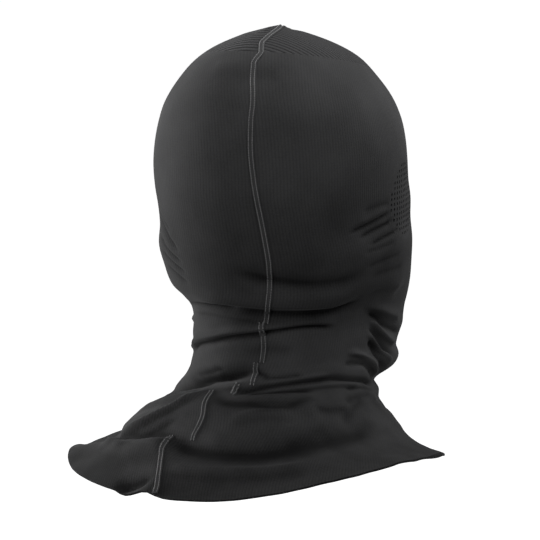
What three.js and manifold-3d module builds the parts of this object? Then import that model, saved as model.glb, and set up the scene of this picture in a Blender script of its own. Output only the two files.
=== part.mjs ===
// A knitted balaclava for wear under a motorcycle helmet, in the shape it has on a head.
// Millimetres, +Z up, face towards -Y, the wearer's left towards +X. The origin is where the top of the head bears
// on the cloth, so the cloth hangs below it, down to the free edge of the shoulder cape.
import * as THREE from "three";
import Module from "manifold-3d";

// Head, inside the cloth
const HEAD_WIDTH = 159;
const HEAD_LENGTH = 198;
const HEAD_HEIGHT = 230;
const CROWN_SET_BACK = 13;
const FACE_SQUARENESS = 2.35;
// Neck, inside the cloth. It starts at the nape, which is this far below the crown.
const NAPE_BELOW_CROWN = 176;
const NECK_WIDTH = 114;
const NECK_LENGTH = 130;
const NECK_HEIGHT = 60;
// Shoulder cape. It drops this far at the shoulders, and its edge dips further at the back and the front.
const CAPE_WIDTH = 256;
const CAPE_BACK = 98;
const CAPE_FRONT = 114;
const CAPE_DROP = 40;
const CAPE_SET_BACK = 32;
const CAPE_TURN = 18;
const CAPE_SQUARENESS = 2.25;
const BACK_DIP = 21;
const FRONT_DIP = 24;
const LEFT_SAG = 3;
// Cloth
const WALL = 1.5;
const CLEARANCE = 0.3;
// Eye opening and its doubled edge
const EYE_WIDTH = 118;
const EYE_HEIGHT = 42;
const EYE_BELOW_CROWN = 117;
const EYE_SQUARENESS = 2.7;
const BINDING_WIDTH = 8;
const BINDING_PROUD = 0.8;
// Eyelet zones over the ears
const EAR_MESH_LENGTH = 62;
const EAR_MESH_HEIGHT = 54;
const EAR_MESH_BELOW_CROWN = 113;
const EAR_MESH_FORWARD = 10;
const EAR_MESH_SLIP = 11;
const EYELET_WIDTH = 2;
const EYELET_HEIGHT = 2.8;
const EYELET_COLUMN_PITCH = 8;
const EYELET_ROW_PITCH = 6.5;
const EYELET_MARGIN = 4;
// Vent zone across the crown. Its edge lies in a plane that falls towards the forehead.
const CROWN_EDGE_BACK = 60;
const CROWN_EDGE_DROP = 11.5;
const CROWN_EDGE_SLOPE = 0.18;
// Seam
const SEAM_WIDTH = 4;
const SEAM_RISE = 0.7;
// Grid of the cloth
const COLUMNS = 48;
const SKULL_ROWS = 16;
const NECK_ROWS = 11;
const CAPE_ROWS = 9;

// The skull, from the ridge of the crown down to the nape. down is a share of HEAD_HEIGHT, wide and cheek are shares
// of half HEAD_WIDTH behind and before the ears, back and front are shares of half HEAD_LENGTH, set_back is a share of
// CROWN_SET_BACK, and seam is how far the cloth has slipped round the head, in degrees.
const SKULL = [
  { down: 0.0, wide: 0.0, cheek: 0.0, back: 0.1, front: 0.1, set_back: 1, seam: 0 },
  { down: 0.012, wide: 0.13, cheek: 0.13, back: 0.18, front: 0.18, set_back: 1, seam: -9 },
  { down: 0.023, wide: 0.24, cheek: 0.24, back: 0.3, front: 0.3, set_back: 0.95, seam: -9 },
  { down: 0.058, wide: 0.475, cheek: 0.475, back: 0.52, front: 0.52, set_back: 0.8, seam: -9 },
  { down: 0.099, wide: 0.645, cheek: 0.65, back: 0.68, front: 0.68, set_back: 0.6, seam: -9 },
  { down: 0.157, wide: 0.79, cheek: 0.785, back: 0.815, front: 0.81, set_back: 0.45, seam: -9.5 },
  { down: 0.214, wide: 0.895, cheek: 0.885, back: 0.91, front: 0.9, set_back: 0.25, seam: -10.5 },
  { down: 0.273, wide: 0.955, cheek: 0.95, back: 0.963, front: 0.95, set_back: 0.1, seam: -11 },
  { down: 0.33, wide: 0.99, cheek: 0.98, back: 0.995, front: 0.975, set_back: 0, seam: -11.5 },
  { down: 0.387, wide: 1.0, cheek: 1.0, back: 1.0, front: 0.98, set_back: 0, seam: -12 },
  { down: 0.448, wide: 0.985, cheek: 1.015, back: 0.995, front: 0.98, set_back: 0, seam: -12.5 },
  { down: 0.504, wide: 0.96, cheek: 1.045, back: 0.975, front: 0.98, set_back: 0, seam: -14 },
  { down: 0.561, wide: 0.95, cheek: 1.045, back: 0.945, front: 0.99, set_back: 0, seam: -15 },
  { down: 0.622, wide: 0.97, cheek: 1.06, back: 0.9, front: 1.0, set_back: 0, seam: -15.5 },
  { down: 0.678, wide: 0.937, cheek: 1.06, back: 0.833, front: 1.005, set_back: 0, seam: -16 },
  { down: 0.735, wide: 0.88, cheek: 1.055, back: 0.763, front: 1.005, set_back: 0, seam: -16 },
];
// The neck, from the nape to the root of the cape. down is a share of NECK_HEIGHT, wide of half NECK_WIDTH, back of
// half NECK_LENGTH, cheek of half HEAD_WIDTH and front of half HEAD_LENGTH, because the jaw and chin fill the front.
const NECK = [
  { down: 0.0, wide: 1.09, cheek: 1.05, back: 1.09, front: 1.01, seam: -15.5 },
  { down: 0.12, wide: 0.985, cheek: 1.025, back: 1.045, front: 1.01, seam: -15 },
  { down: 0.22, wide: 0.957, cheek: 0.995, back: 1.015, front: 1.0, seam: -14 },
  { down: 0.33, wide: 0.96, cheek: 0.975, back: 0.99, front: 0.995, seam: -12.5 },
  { down: 0.45, wide: 0.975, cheek: 0.955, back: 0.977, front: 0.985, seam: -10.5 },
  { down: 0.67, wide: 0.967, cheek: 0.89, back: 0.946, front: 0.94, seam: -7.5 },
  { down: 0.78, wide: 0.99, cheek: 0.91, back: 0.955, front: 0.92, seam: -5 },
  { down: 0.88, wide: 1.02, cheek: 0.85, back: 0.98, front: 0.83, seam: -1 },
  { down: 1.0, wide: 1.1, cheek: 0.735, back: 1.01, front: 0.71, seam: 4 },
];
// The cape. down is a share of CAPE_DROP at the shoulders, out and chest are the shares of the way from the neck to
// the size of the free edge behind and before the shoulders, set_back and dip are shares of CAPE_SET_BACK and the dips.
const CAPE = [
  { down: 0.17, out: 0.08, chest: 0.09, set_back: 0.3, dip: 0.0, seam: 6 },
  { down: 0.32, out: 0.14, chest: 0.13, set_back: 0.48, dip: 0.03, seam: 2 },
  { down: 0.47, out: 0.28, chest: 0.27, set_back: 0.7, dip: 0.12, seam: -2 },
  { down: 0.61, out: 0.4, chest: 0.4, set_back: 0.88, dip: 0.27, seam: -1 },
  { down: 0.75, out: 0.46, chest: 0.53, set_back: 0.98, dip: 0.47, seam: 2 },
  { down: 0.9, out: 0.64, chest: 0.77, set_back: 1.06, dip: 0.78, seam: 1 },
  { down: 1.0, out: 1.0, chest: 1.0, set_back: 1.0, dip: 1.0, seam: -1 },
];
// Forms pressed out of the cloth by what is under it. turn is in degrees round from the middle of the back towards
// the wearer's left, down is a share of HEAD_HEIGHT, across and along are half sizes and rise is the height, in
// shares of half HEAD_WIDTH.
const FORMS = [
  { name: "nose", turn: 180, down: 0.635, across: 0.24, along: 0.26, rise: 0.17 },
  { name: "mouth_hollow", turn: 180, down: 0.77, across: 0.36, along: 0.12, rise: -0.04 },
  { name: "chin", turn: 180, down: 0.87, across: 0.32, along: 0.16, rise: 0.05 },
  { name: "left_ear", turn: 92, down: 0.56, across: 0.28, along: 0.3, rise: 0.025 },
  { name: "right_ear", turn: -92, down: 0.56, across: 0.28, along: 0.3, rise: 0.025 },
];
// Folds of the cloth, each a ridge or a valley along a line from one place to another. from and to are in degrees
// round the axis, from_down and to_down are shares of the height from the crown to the shoulder edge, bow is how far
// the middle hangs below the straight line, width is the half width and rise the height, in shares of half NECK_WIDTH.
const FOLDS = [
  { name: "nape_valley", from: 8, from_down: 0.565, to: -66, to_down: 0.58, bow: 0.02, width: 0.11, rise: -0.03 },
  { name: "nape_ridge", from: 30, from_down: 0.61, to: -74, to_down: 0.615, bow: 0.06, width: 0.11, rise: 0.025 },
  { name: "neck_valley", from: 46, from_down: 0.655, to: -72, to_down: 0.63, bow: 0.07, width: 0.11, rise: -0.035 },
  { name: "neck_ridge", from: 44, from_down: 0.755, to: -76, to_down: 0.71, bow: -0.15, width: 0.12, rise: 0.035 },
  { name: "left_base_valley", from: 66, from_down: 0.87, to: -8, to_down: 0.79, bow: 0.02, width: 0.12, rise: -0.06 },
  { name: "right_base_valley", from: 14, from_down: 0.845, to: -96, to_down: 0.85, bow: -0.06, width: 0.11, rise: -0.04 },
  { name: "left_cape_ridge", from: 62, from_down: 0.985, to: 16, to_down: 0.83, bow: -0.08, width: 0.14, rise: 0.045 },
  { name: "cape_valley", from: 52, from_down: 0.965, to: -66, to_down: 0.94, bow: 0.04, width: 0.13, rise: -0.05 },
  { name: "jaw_gather_high", from: -92, from_down: 0.7, to: -134, to_down: 0.79, bow: 0.03, width: 0.14, rise: 0.035 },
  { name: "jaw_gather_low", from: -74, from_down: 0.795, to: -124, to_down: 0.83, bow: 0.02, width: 0.13, rise: 0.03 },
  { name: "left_jaw_gather", from: 90, from_down: 0.71, to: 134, to_down: 0.79, bow: -0.03, width: 0.14, rise: 0.03 },
  { name: "throat_valley", from: 110, from_down: 0.85, to: -112, to_down: 0.84, bow: 0.1, width: 0.12, rise: -0.04 },
];

const radians = (degrees) => (degrees * Math.PI) / 180;
const mix = (a, b, t) => a + (b - a) * t;
const smooth = (from, to, x) => {
  const t = Math.min(1, Math.max(0, (x - from) / (to - from)));
  return t * t * (3 - 2 * t);
};

// Each section as lengths: height, half widths behind and before the ears, depths behind and before the axis, how far
// the centre stands back, how far the outline has turned, how far the edge dips and where the seam runs.
function skullSection(row) {
  return {
    z: -row.down * HEAD_HEIGHT,
    wide: (row.wide * HEAD_WIDTH) / 2,
    cheek: (row.cheek * HEAD_WIDTH) / 2,
    back: (row.back * HEAD_LENGTH) / 2,
    front: (row.front * HEAD_LENGTH) / 2,
    setBack: row.set_back * CROWN_SET_BACK,
    turn: 0,
    dip: 0,
    squareness: 2,
    seam: row.seam,
  };
}

function neckSection(row) {
  return {
    z: -NAPE_BELOW_CROWN - row.down * NECK_HEIGHT,
    wide: (row.wide * NECK_WIDTH) / 2,
    cheek: (row.cheek * HEAD_WIDTH) / 2,
    back: (row.back * NECK_LENGTH) / 2,
    front: (row.front * HEAD_LENGTH) / 2,
    setBack: 0,
    turn: CAPE_TURN * 0.35 * row.down,
    dip: 0,
    squareness: 2,
    seam: row.seam,
  };
}

function capeSection(row, root) {
  return {
    z: root.z - row.down * CAPE_DROP,
    wide: mix(root.wide, CAPE_WIDTH / 2, row.out),
    cheek: mix(root.cheek, CAPE_WIDTH / 2, row.chest),
    back: mix(root.back, CAPE_BACK, row.out),
    front: mix(root.front, CAPE_FRONT, row.chest),
    setBack: CAPE_SET_BACK * row.set_back,
    turn: mix(root.turn, CAPE_TURN, Math.sqrt(row.out)),
    dip: row.dip,
    squareness: mix(2, CAPE_SQUARENESS, row.out),
    seam: row.seam,
  };
}

const neckSections = NECK.map(neckSection);
const SECTIONS = [
  ...SKULL.map(skullSection),
  ...neckSections,
  ...CAPE.map((row) => capeSection(row, neckSections.at(-1))),
];
const HEIGHT = -SECTIONS.at(-1).z;

// Length along the cloth from the ridge of the crown to each section.
const ALONG = [0];
for (let i = 1; i < SECTIONS.length; i++) {
  const [a, b] = [SECTIONS[i - 1], SECTIONS[i]];
  const out = (b.wide + b.back + b.cheek + b.front - a.wide - a.back - a.cheek - a.front) / 4;
  ALONG.push(ALONG[i - 1] + Math.hypot(b.z - a.z, out));
}
const CLOTH_LENGTH = ALONG.at(-1);
const NAPE = ALONG[SKULL.length];
const ROOT = ALONG[SKULL.length + NECK.length - 1];

// A cubic through the sections, at a length along the cloth.
function sectionAt(length) {
  let i = ALONG.findIndex((x) => x >= length);
  i = Math.min(Math.max(i, 1), SECTIONS.length - 1);
  const at = (k) => Math.min(Math.max(k, 0), SECTIONS.length - 1);
  const [k0, k1, k2, k3] = [at(i - 2), i - 1, i, at(i + 1)];
  const span = ALONG[k2] - ALONG[k1];
  const t = Math.min(1, Math.max(0, (length - ALONG[k1]) / span));
  const made = {};
  for (const key of Object.keys(SECTIONS[0])) {
    const [a, b] = [SECTIONS[k1][key], SECTIONS[k2][key]];
    const before = ((b - SECTIONS[k0][key]) / (ALONG[k2] - ALONG[k0])) * span;
    const after = ((SECTIONS[k3][key] - a) / (ALONG[k3] - ALONG[k1])) * span;
    made[key] =
      (2 * t ** 3 - 3 * t ** 2 + 1) * a +
      (t ** 3 - 2 * t ** 2 + t) * before +
      (3 * t ** 2 - 2 * t ** 3) * b +
      (t ** 3 - t ** 2) * after;
  }
  return made;
}

// A point of the smooth cloth, before forms and folds. angle runs from the seam at the back towards the wearer's left.
function smoothPoint(angle, length) {
  const s = sectionAt(length);
  const t = angle + (radians(s.seam) * (1 + Math.cos(angle))) / 2;
  const before = smooth(-0.35, 0.75, -Math.cos(t));
  const power = 2 / mix(s.squareness, FACE_SQUARENESS, before);
  const half = mix(s.wide, s.cheek, before);
  const depth = Math.cos(t) > 0 ? s.back : s.front;
  const x = half * Math.sign(Math.sin(t)) * Math.abs(Math.sin(t)) ** power;
  const y = s.setBack + depth * Math.sign(Math.cos(t)) * Math.abs(Math.cos(t)) ** power;
  const facing = Math.cos(t);
  const dip = s.dip * ((facing > 0 ? BACK_DIP : FRONT_DIP) * facing ** 2 + LEFT_SAG * Math.sin(t));
  const [c, n] = [Math.cos(radians(s.turn)), Math.sin(radians(s.turn))];
  return new THREE.Vector3(x * c + y * n, y * c - x * n, s.z - dip);
}

// Outward direction of the smooth cloth.
function outward(angle, length) {
  const step = 0.02;
  const reach = 2;
  const at = Math.max(length, reach + 1);
  const round = smoothPoint(angle + step, at).sub(smoothPoint(angle - step, at));
  const down = smoothPoint(angle, Math.min(at + reach, CLOTH_LENGTH)).sub(smoothPoint(angle, at - reach));
  const out = round.cross(down).normalize();
  return length > reach ? out : out.lerp(new THREE.Vector3(0, 0, 1), 1 - length / reach).normalize();
}

// How far a form or a fold moves the cloth out at a point whose direction from the axis and height are known.
function formRise(form, turn, down) {
  const radius = HEAD_WIDTH / 2;
  const aside = radians(((turn - form.turn + 540) % 360) - 180) * radius;
  const below = (down - form.down) * HEAD_HEIGHT;
  const reach = (aside / (form.across * radius)) ** 2 + (below / (form.along * radius)) ** 2;
  return form.rise * radius * Math.exp(-reach);
}

function foldRise(fold, turn, down) {
  const radius = NECK_WIDTH / 2;
  const middle = (fold.from + fold.to) / 2;
  const round = (degrees) => radians(((degrees - middle + 540) % 360) - 180 - (fold.from - middle)) * radius;
  const [endX, endY] = [round(fold.to), (fold.to_down - fold.from_down) * HEIGHT];
  const [x, y] = [round(turn), (down - fold.from_down) * HEIGHT];
  const length = Math.hypot(endX, endY);
  const share = (x * endX + y * endY) / length ** 2;
  const aside = (y * endX - x * endY) / length - fold.bow * radius * 4 * share * (1 - share) * Math.sign(endX);
  const fade = smooth(-0.15, 0.2, share) * smooth(-0.15, 0.2, 1 - share);
  return fold.rise * radius * fade * Math.exp(-((aside / (fold.width * radius)) ** 2));
}

// A point of the inside of the cloth, moved out by a given offset.
function clothPoint(angle, length, offset) {
  const p = smoothPoint(angle, length);
  const turn = THREE.MathUtils.radToDeg(Math.atan2(p.x, p.y));
  const rise =
    FORMS.reduce((sum, form) => sum + formRise(form, turn, -p.z / HEAD_HEIGHT), 0) +
    FOLDS.reduce((sum, fold) => sum + foldRise(fold, turn, -p.z / HEIGHT), 0);
  return p.addScaledVector(outward(angle, length), rise + offset);
}

// The grid of the cloth at an offset: a list of rows of points. Row 0 is the ridge of the crown, where the two sides
// of the cloth meet, so its points repeat on both sides.
const ROWS = SKULL_ROWS + NECK_ROWS + CAPE_ROWS;
function rowLength(i) {
  if (i <= SKULL_ROWS) return (NAPE * i) / SKULL_ROWS;
  if (i <= SKULL_ROWS + NECK_ROWS) return mix(NAPE, ROOT, (i - SKULL_ROWS) / NECK_ROWS);
  return mix(ROOT, CLOTH_LENGTH, (i - SKULL_ROWS - NECK_ROWS) / CAPE_ROWS);
}
const columnAngle = (j) => (2 * Math.PI * j) / COLUMNS;
function grid(offset) {
  const rows = [];
  for (let i = 0; i <= ROWS; i++) {
    rows.push([]);
    for (let j = 0; j < COLUMNS; j++) {
      const ridge = i === 0 ? Math.min(j, COLUMNS - j) : j;
      const p = clothPoint(columnAngle(ridge), rowLength(i), offset);
      if (i === 0) p.x = 0;
      rows[i].push(p);
    }
  }
  return rows;
}

const wasm = await Module();
wasm.setup();

function solidOf(points, triangles) {
  const vertProperties = new Float32Array(points.flatMap((p) => [p.x, p.y, p.z]));
  const triVerts = new Uint32Array(triangles.flat());
  return new wasm.Manifold(new wasm.Mesh({ numProp: 3, vertProperties, triVerts }));
}

// A closed wall between two grids of the cloth.
function wall(outerOffset, innerOffset) {
  const points = [];
  const triangles = [];
  const index = new Map();
  const grids = [grid(outerOffset), grid(innerOffset)];
  const id = (side, i, j) => {
    const column = (j + COLUMNS) % COLUMNS;
    const key = `${side} ${i} ${i === 0 ? Math.min(column, COLUMNS - column) : column}`;
    if (!index.has(key)) {
      index.set(key, points.length);
      points.push(grids[side][i][column]);
    }
    return index.get(key);
  };
  const quad = (a, b, c, d) => triangles.push([a, b, c], [a, c, d]);
  for (let i = 0; i < ROWS; i++) {
    for (let j = 0; j < COLUMNS; j++) {
      quad(id(0, i, j), id(0, i, j + 1), id(0, i + 1, j + 1), id(0, i + 1, j));
      quad(id(1, i, j), id(1, i + 1, j), id(1, i + 1, j + 1), id(1, i, j + 1));
    }
  }
  for (let j = 0; j < COLUMNS; j++) {
    quad(id(0, ROWS, j), id(0, ROWS, j + 1), id(1, ROWS, j + 1), id(1, ROWS, j));
  }
  const whole = triangles.filter((t) => new Set(t).size === 3);
  return solidOf(points, whole);
}

// The solid of a three.js geometry.
function solidFrom(geometry) {
  const bare = geometry.index ? geometry.toNonIndexed() : geometry;
  const position = bare.getAttribute("position");
  const index = new Map();
  const points = [];
  const corners = [];
  for (let i = 0; i < position.count; i++) {
    const p = new THREE.Vector3().fromBufferAttribute(position, i);
    const key = [p.x, p.y, p.z].map((v) => Math.round(v * 1e4)).join(" ");
    if (!index.has(key)) {
      index.set(key, points.length);
      points.push(p);
    }
    corners.push(index.get(key));
  }
  const triangles = [];
  for (let i = 0; i < corners.length; i += 3) triangles.push(corners.slice(i, i + 3));
  return solidOf(points, triangles.filter((t) => new Set(t).size === 3));
}

// An oval outline with rounded, squared ends.
function oval(halfWidth, halfHeight, squareness, sides) {
  const shape = new THREE.Shape();
  for (let k = 0; k < sides; k++) {
    const t = (2 * Math.PI * k) / sides;
    const power = 2 / squareness;
    const x = halfWidth * Math.sign(Math.cos(t)) * Math.abs(Math.cos(t)) ** power;
    const y = halfHeight * Math.sign(Math.sin(t)) * Math.abs(Math.sin(t)) ** power;
    if (k === 0) shape.moveTo(x, y);
    else shape.lineTo(x, y);
  }
  shape.closePath();
  return shape;
}

const REACH = HEAD_LENGTH;
const OVAL_SIDES = 24;

// A bar through the eye opening, grown by an offset.
function eyeCutter(offset) {
  const outline = oval(EYE_WIDTH / 2 + offset, EYE_HEIGHT / 2 + offset, EYE_SQUARENESS, OVAL_SIDES);
  const bar = new THREE.ExtrudeGeometry(outline, { depth: REACH, bevelEnabled: false });
  bar.rotateX(Math.PI / 2).translate(0, 0, -EYE_BELOW_CROWN);
  return solidFrom(bar);
}

// A bar through one ear zone, grown by an offset. side is 1 on the wearer's left and -1 on the right. The cloth has
// slipped round the head, so the right zone stands further forward than the left one.
const earCentre = (side) => ({
  y: -EAR_MESH_FORWARD + side * EAR_MESH_SLIP,
  z: -EAR_MESH_BELOW_CROWN,
});
function earCutter(side, offset) {
  const outline = oval(EAR_MESH_LENGTH / 2 + offset, EAR_MESH_HEIGHT / 2 + offset, 2, OVAL_SIDES);
  const bar = new THREE.ExtrudeGeometry(outline, { depth: REACH, bevelEnabled: false });
  bar.rotateX(Math.PI / 2).rotateZ((side * Math.PI) / 2);
  const { y, z } = earCentre(side);
  return solidFrom(bar.translate(0, y, z));
}

// Everything above the plane of the crown zone's edge, raised by an offset.
function aboveCrownEdge(offset) {
  const block = new THREE.BoxGeometry(2 * REACH, 2 * REACH, REACH);
  block.translate(0, 0, REACH / 2 + offset);
  block.rotateX(Math.atan(CROWN_EDGE_SLOPE));
  block.translate(0, CROWN_EDGE_BACK, -CROWN_EDGE_DROP);
  return solidFrom(block);
}

// The eyelets of one ear zone as bars, in staggered columns inside the oval.
function eyelets(side) {
  const { y, z } = earCentre(side);
  const [halfLength, halfHeight] = [EAR_MESH_LENGTH / 2 - EYELET_MARGIN, EAR_MESH_HEIGHT / 2 - EYELET_MARGIN];
  const columns = Math.floor(halfLength / EYELET_COLUMN_PITCH);
  const rows = Math.floor(halfHeight / EYELET_ROW_PITCH) + 1;
  let bars = null;
  for (let c = -columns; c <= columns; c++) {
    for (let r = -rows; r <= rows; r++) {
      const across = c * EYELET_COLUMN_PITCH;
      const up = (r + (c % 2 ? 0.5 : 0)) * EYELET_ROW_PITCH;
      if ((across / halfLength) ** 2 + (up / halfHeight) ** 2 > 1) continue;
      const hole = oval(EYELET_WIDTH / 2, EYELET_HEIGHT / 2, 2, 4);
      const bar = new THREE.ExtrudeGeometry(hole, { depth: REACH, bevelEnabled: false });
      bar.rotateX(Math.PI / 2).rotateZ((side * Math.PI) / 2).translate(0, y + across, z + up);
      const solid = solidFrom(bar);
      bars = bars ? bars.add(solid) : solid;
    }
  }
  return bars;
}

// The seam as a flat cord of three points below and three above at each station.
function seamSolid() {
  const cloth = grid(WALL);
  const half = SEAM_WIDTH / 2;
  const towards = (p, q) => p.clone().lerp(q, half / p.distanceTo(q));
  const stations = [];
  const station = (centre, left, right, angle, length) => {
    const out = outward(angle, length);
    const flat = [towards(centre, left), centre, towards(centre, right)];
    const lift = (height) => flat.map((p) => p.clone().addScaledVector(out, height));
    stations.push([...lift(CLEARANCE), ...lift(CLEARANCE + SEAM_RISE).reverse()]);
  };
  const middle = COLUMNS / 2;
  for (let i = ROWS; i > 0; i--) station(cloth[i][0], cloth[i][COLUMNS - 1], cloth[i][1], 0, rowLength(i));
  for (let j = 0; j <= middle; j++) {
    const beside = Math.min(Math.max(j, 1), middle - 1);
    station(cloth[0][j], cloth[1][COLUMNS - beside], cloth[1][beside], columnAngle(j), 0);
  }
  const stop = -EYE_BELOW_CROWN + EYE_HEIGHT / 2 + BINDING_WIDTH + CLEARANCE;
  for (let i = 1; i <= ROWS; i++) {
    const [above, here] = [cloth[i - 1][middle], cloth[i][middle]];
    const end = here.z < stop;
    const share = end ? (above.z - stop) / (above.z - here.z) : 1;
    const at = (j) => cloth[i - 1][j].clone().lerp(cloth[i][j], share);
    station(at(middle), at(middle + 1), at(middle - 1), Math.PI, mix(rowLength(i - 1), rowLength(i), share));
    if (end) break;
  }
  const points = stations.flat();
  const triangles = [];
  const around = stations[0].length;
  for (let s = 0; s + 1 < stations.length; s++) {
    for (let k = 0; k < around; k++) {
      const [a, b] = [s * around + k, s * around + ((k + 1) % around)];
      triangles.push([a, b, b + around], [a, b + around, a + around]);
    }
  }
  const last = (stations.length - 1) * around;
  for (const [p, q, r, s] of [[0, 1, 4, 5], [1, 2, 3, 4]]) {
    triangles.push([p, s, r], [p, r, q], [last + p, last + q, last + r], [last + p, last + r, last + s]);
  }
  const made = solidOf(points, triangles);
  const cord = made.volume() > 0 ? made : solidOf(points, triangles.map(([a, b, c]) => [a, c, b]));
  return cord.subtract(wall(WALL + CLEARANCE / 2, 0));
}

function meshOf(name, solid, colour, roughness) {
  const made = solid.getMesh();
  const position = new Float32Array(made.numVert * 3);
  for (let i = 0; i < made.numVert; i++) {
    position.set(made.vertProperties.subarray(i * made.numProp, i * made.numProp + 3), i * 3);
  }
  const geometry = new THREE.BufferGeometry();
  geometry.setAttribute("position", new THREE.BufferAttribute(position, 3));
  geometry.setIndex(new THREE.BufferAttribute(new Uint32Array(made.triVerts), 1));
  geometry.computeVertexNormals();
  const mesh = new THREE.Mesh(geometry, new THREE.MeshStandardMaterial({ color: colour, roughness, metalness: 0 }));
  mesh.name = name;
  return mesh;
}

const cloth = wall(WALL, 0);
const bindingEdge = eyeCutter(BINDING_WIDTH + CLEARANCE);

const hood = cloth
  .subtract(aboveCrownEdge(-CLEARANCE / 2))
  .subtract(bindingEdge)
  .subtract(earCutter(1, CLEARANCE / 2))
  .subtract(earCutter(-1, CLEARANCE / 2));
const crownPanel = cloth.intersect(aboveCrownEdge(CLEARANCE / 2));
const earMesh = (side) => cloth.intersect(earCutter(side, -CLEARANCE / 2)).subtract(eyelets(side));
const binding = wall(WALL + BINDING_PROUD, -BINDING_PROUD)
  .intersect(eyeCutter(BINDING_WIDTH))
  .subtract(eyeCutter(0));

const balaclava = new THREE.Group();
balaclava.add(
  meshOf("hood", hood, 0x2b2b2c, 0.85),
  meshOf("crown_panel", crownPanel, 0x2f2f30, 0.9),
  meshOf("ear_mesh_left", earMesh(1), 0x2a2a2b, 0.9),
  meshOf("ear_mesh_right", earMesh(-1), 0x2a2a2b, 0.9),
  meshOf("eye_binding", binding, 0x262627, 0.8),
  meshOf("centre_seam", seamSolid(), 0x4a4a4b, 0.75),
);

export default balaclava;
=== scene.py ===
import math

import bmesh
import bpy
import numpy as np
from mathutils import Matrix, Vector
from mathutils.bvhtree import BVHTree

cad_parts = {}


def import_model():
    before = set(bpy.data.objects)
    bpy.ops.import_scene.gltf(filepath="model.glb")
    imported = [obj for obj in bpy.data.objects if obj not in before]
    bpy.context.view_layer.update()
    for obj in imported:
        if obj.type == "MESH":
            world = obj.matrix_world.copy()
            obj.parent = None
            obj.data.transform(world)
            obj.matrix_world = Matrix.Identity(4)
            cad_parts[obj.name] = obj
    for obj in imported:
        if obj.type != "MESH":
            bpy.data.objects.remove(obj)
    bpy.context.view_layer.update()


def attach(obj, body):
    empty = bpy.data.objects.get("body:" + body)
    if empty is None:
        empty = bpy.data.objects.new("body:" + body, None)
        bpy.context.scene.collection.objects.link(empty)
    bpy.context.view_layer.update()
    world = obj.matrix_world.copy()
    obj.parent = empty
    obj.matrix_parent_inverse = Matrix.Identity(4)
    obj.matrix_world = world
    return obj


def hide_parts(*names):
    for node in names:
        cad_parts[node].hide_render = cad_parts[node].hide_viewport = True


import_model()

# The hood. A thin elastic rib knit, charcoal black, cut as a left and a right half and sewn together down
# the middle. As it is worn, it is stretched over the skull and the jaw, gathers in rings round the neck,
# and hangs free over the shoulders as a short cape with one fold pressed across it.
HEAD_WIDTH, HEAD_LENGTH, HEAD_HEIGHT = 0.159, 0.198, 0.230
CROWN_SET_BACK, FACE_SQUARENESS = 0.013, 2.35
NAPE_BELOW_CROWN, NECK_WIDTH, NECK_LENGTH, NECK_HEIGHT = 0.176, 0.114, 0.130, 0.060
CAPE_WIDTH, CAPE_BACK, CAPE_FRONT, CAPE_DROP = 0.256, 0.098, 0.114, 0.040
CAPE_SET_BACK, CAPE_TURN, CAPE_SQUARENESS = 0.032, 18, 2.25
BACK_DIP, FRONT_DIP, LEFT_SAG = 0.021, 0.024, 0.003
CLOTH_THICKNESS = 0.0015

# Rings of the skull from the crown down: depth, half width behind and before the ears, reach back and
# forward, how far the ring stands back, and the slip of the seam in degrees. All but the last are shares of
# the head's sizes.
SKULL = [
    (0.000, 0.000, 0.000, 0.100, 0.100, 1.00, 0), (0.012, 0.130, 0.130, 0.180, 0.180, 1.00, -9),
    (0.023, 0.240, 0.240, 0.300, 0.300, 0.95, -9), (0.058, 0.475, 0.475, 0.520, 0.520, 0.80, -9),
    (0.099, 0.645, 0.650, 0.680, 0.680, 0.60, -9), (0.157, 0.790, 0.785, 0.815, 0.810, 0.45, -9.5),
    (0.214, 0.895, 0.885, 0.910, 0.900, 0.25, -10.5), (0.273, 0.955, 0.950, 0.963, 0.950, 0.10, -11),
    (0.330, 0.990, 0.980, 0.995, 0.975, 0, -11.5), (0.387, 1.000, 1.000, 1.000, 0.980, 0, -12),
    (0.448, 0.985, 1.015, 0.995, 0.980, 0, -12.5), (0.504, 0.960, 1.045, 0.975, 0.980, 0, -14),
    (0.561, 0.950, 1.045, 0.945, 0.990, 0, -15), (0.622, 0.970, 1.060, 0.900, 1.000, 0, -15.5),
    (0.678, 0.937, 1.060, 0.833, 1.005, 0, -16), (0.735, 0.880, 1.055, 0.763, 1.005, 0, -16),
]
# Rings of the neck from the nape down: depth, half width, jaw width, reach back and forward, and the slip
# of the seam in degrees.
NECK = [
    (0.00, 1.090, 1.050, 1.090, 1.010, -15.5), (0.12, 0.985, 1.025, 1.045, 1.010, -15),
    (0.22, 0.957, 0.995, 1.015, 1.000, -14), (0.33, 0.960, 0.975, 0.990, 0.995, -12.5),
    (0.45, 0.975, 0.955, 0.977, 0.985, -10.5), (0.67, 0.967, 0.890, 0.946, 0.940, -7.5),
    (0.78, 0.990, 0.910, 0.955, 0.920, -5), (0.88, 1.020, 0.850, 0.980, 0.830, -1),
    (1.00, 1.100, 0.735, 1.010, 0.710, 4),
]
# Rings of the cape from its root down: drop, spread behind and before, set back, dip of the edge, and the
# slip of the seam in degrees.
CAPE = [
    (0.17, 0.08, 0.09, 0.30, 0.00, 6), (0.32, 0.14, 0.13, 0.48, 0.03, 2), (0.47, 0.28, 0.27, 0.70, 0.12, -2),
    (0.61, 0.40, 0.40, 0.88, 0.27, -1), (0.75, 0.46, 0.53, 0.98, 0.47, 2), (0.90, 0.64, 0.77, 1.06, 0.78, 1),
    (1.00, 1.00, 1.00, 1.00, 1.00, -1),
]

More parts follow.
